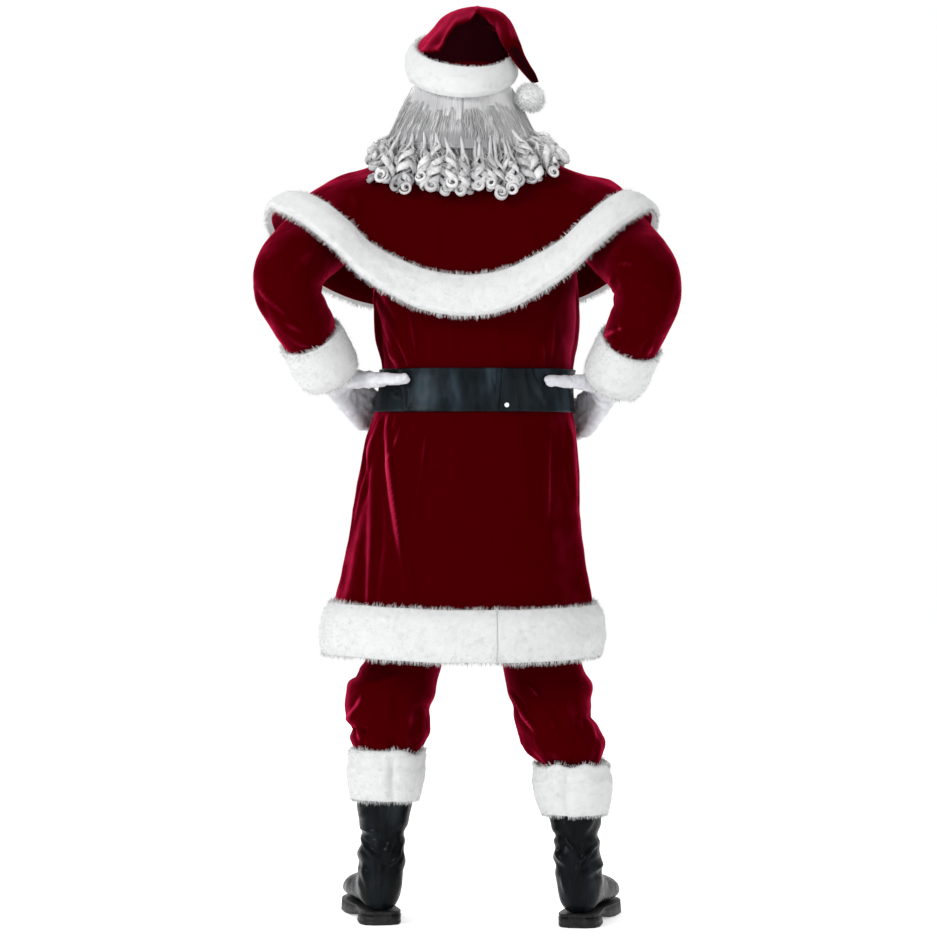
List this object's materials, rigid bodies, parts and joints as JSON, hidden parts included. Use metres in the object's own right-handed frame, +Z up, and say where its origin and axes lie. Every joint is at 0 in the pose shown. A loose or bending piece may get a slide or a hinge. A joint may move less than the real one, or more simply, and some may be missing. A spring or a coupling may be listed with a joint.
{
  "type": "santa suit as worn, with hat, wig, cape, coat, belt, trousers, gloves and boots",
  "caption": "Santa suit in velvet with white fur trim, held in its worn pose with hands on the hips: hat, wig, cape, coat, belt, trousers, gloves and boots, all hollow.",
  "frame": {"origin": "centre of the coat's neck opening, where the wearer holds the suit up", "axes": "+Z up, -Y towards the suit's front, +X towards the wearer's left"},
  "size_m": [0.8317, 0.4847, 1.828],
  "materials": {
    "velvet": "deep crimson velvet with a short nap",
    "fur": "white long-pile plush",
    "wig_hair": "silver-white synthetic hair in ringlets",
    "leathercloth": "black coated leathercloth, satin",
    "rubber": "black moulded rubber",
    "buckle_metal": "polished",
    "rivet_metal": "polished",
    "glove_cloth": "white stretch satin"
  },
  "bodies": {
    "root": {"belt_buckle": "buckle_metal", "belt_left": "leathercloth", "belt_prong": "buckle_metal", "belt_right": "leathercloth", "belt_rivet": "rivet_metal", "boot_fur_left": "fur", "boot_fur_right": "fur", "boot_heel_left": "rubber", "boot_heel_right": "rubber", "boot_left": "leathercloth", "boot_right": "leathercloth", "boot_sole_left": "rubber", "boot_sole_right": "rubber", "cape": "velvet", "cape_fur": "fur", "coat_back": "velvet", "coat_front_left": "velvet", "coat_front_right": "velvet", "cuff_fur_left": "fur", "cuff_fur_right": "fur", "glove_left": "glove_cloth", "glove_right": "glove_cloth", "glove_snap": "rivet_metal", "hat_crown": "velvet", "hat_fur_band": "fur", "hat_pompom": "fur", "hem_fur_left": "fur", "hem_fur_right": "fur", "sleeve_back_left": "velvet", "sleeve_back_right": "velvet", "sleeve_front_left": "velvet", "sleeve_front_right": "velvet", "trousers_back_left": "velvet", "trousers_back_right": "velvet", "trousers_front_left": "velvet", "trousers_front_right": "velvet", "wig_curls": "wig_hair", "wig_hair": "wig_hair"}
  },
  "joints": []
}
